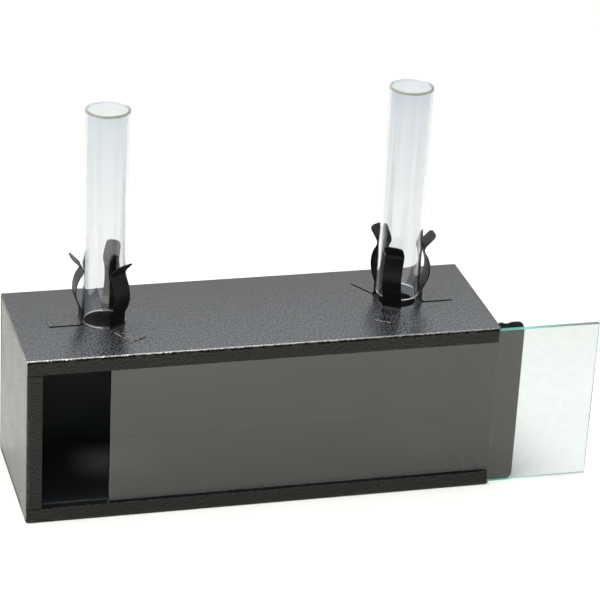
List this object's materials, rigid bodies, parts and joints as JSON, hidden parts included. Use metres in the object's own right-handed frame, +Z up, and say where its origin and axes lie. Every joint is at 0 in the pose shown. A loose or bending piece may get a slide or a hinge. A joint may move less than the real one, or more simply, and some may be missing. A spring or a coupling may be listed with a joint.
{
  "type": "air convection apparatus",
  "caption": "Sheet steel case with a sliding glass front and glass chimneys held by spring clips over holes in its top, for showing convection currents with smoke.",
  "frame": {"origin": "centre of the case's underside, on the surface that it stands on", "axes": "+X to the right along the case, the way the window slides out; +Y to the back; +Z up along the chimneys"},
  "size_m": [0.3296, 0.09, 0.231],
  "materials": {
    "hammertone_paint": "charcoal hammertone enamel, semi-gloss, with a fine pitted texture",
    "spring_strip": "blackened spring steel strip, semi-gloss",
    "window_glass": "clear float glass with green edges",
    "chimney_glass": "clear drawn tube with fire-polished rims"
  },
  "bodies": {
    "case": {"case_shell": "hammertone_paint", "left_end_plate": "hammertone_paint", "right_end_plate": "hammertone_paint", "upper_glass_guide": "hammertone_paint", "lower_glass_guide": "hammertone_paint", "left_chimney_left_clip": "spring_strip", "left_chimney_front_clip": "spring_strip", "left_chimney_back_clip": "spring_strip", "right_chimney_right_clip": "spring_strip", "right_chimney_front_clip": "spring_strip", "right_chimney_back_clip": "spring_strip"},
    "window": {"glass_window": "window_glass"},
    "left_tube": {"left_chimney": "chimney_glass"},
    "right_tube": {"right_chimney": "chimney_glass"}
  },
  "joints": [
    {"name": "window_slide", "type": "slide", "parent": "case", "child": "window", "axis": [1, 0, 0], "range_m": [-0.0456, 0.225]},
    {"name": "left_chimney_lift", "type": "slide", "parent": "case", "child": "left_tube", "axis": [0, 0, 1], "range_m": [0, 0.046]},
    {"name": "right_chimney_lift", "type": "slide", "parent": "case", "child": "right_tube", "axis": [0, 0, 1], "range_m": [-0.0048, 0.041]}
  ]
}
